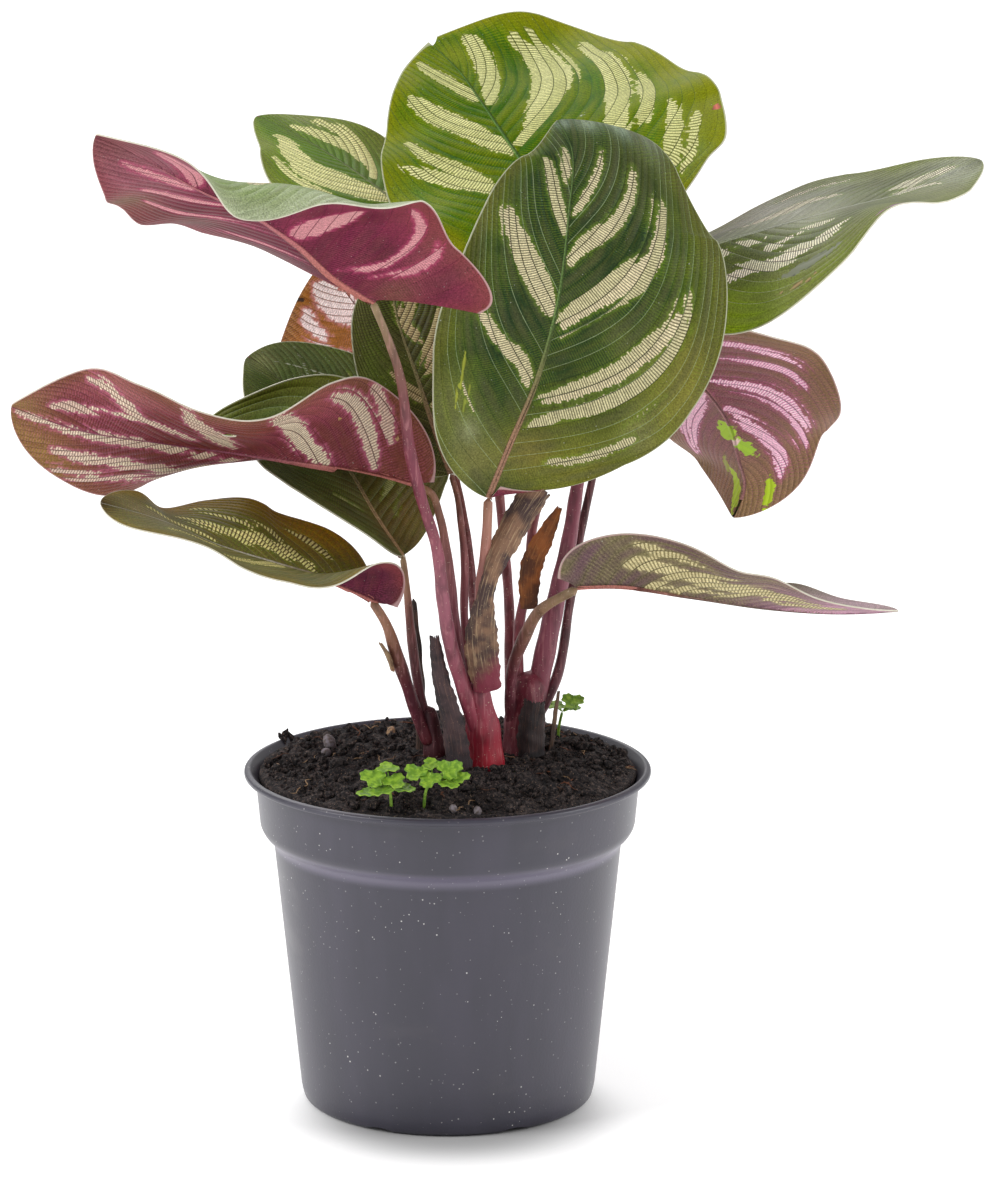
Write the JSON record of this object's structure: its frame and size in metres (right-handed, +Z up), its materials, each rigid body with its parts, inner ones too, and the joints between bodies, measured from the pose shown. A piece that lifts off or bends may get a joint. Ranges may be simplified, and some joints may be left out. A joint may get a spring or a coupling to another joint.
{
  "type": "potted peacock plant",
  "caption": "House plant with patterned oval leaves on thin red stalks, standing in a round tapered plastic nursery pot filled with dark soil.",
  "frame": {"origin": "centre of the pot's underside, on the surface that the pot stands on", "axes": "+Z up along the pot's axis, -Y towards the side that the picture shows, +X to the right in it"},
  "size_m": [0.2838, 0.2461, 0.3085],
  "materials": {
    "pot_plastic": "matte",
    "peat": "matte",
    "leaf": "satin",
    "stalk": "satin",
    "dry_sheath": "matte",
    "seedling": "satin"
  },
  "bodies": {
    "root": {"pot": "pot_plastic", "soil": "peat", "blade_front": "leaf", "blade_back_top": "leaf", "blade_left_back": "leaf", "blade_upper_left": "leaf", "blade_left_middle": "leaf", "blade_left_lower": "leaf", "blade_dark_left": "leaf", "blade_middle": "leaf", "blade_rust": "leaf", "blade_right": "leaf", "blade_right_pink": "leaf", "blade_right_lower": "leaf", "shoot_left": "stalk", "shoot_middle": "stalk", "shoot_right": "stalk", "stalk_dead": "dry_sheath", "sheath_dark": "dry_sheath", "sheath_centre": "dry_sheath", "sheath_orange": "dry_sheath", "sheath_black": "dry_sheath", "sheath_thin": "dry_sheath", "bract_tan": "dry_sheath", "seedling_front_left": "seedling", "seedling_front_right": "seedling", "seedling_back": "seedling"}
  },
  "joints": []
}
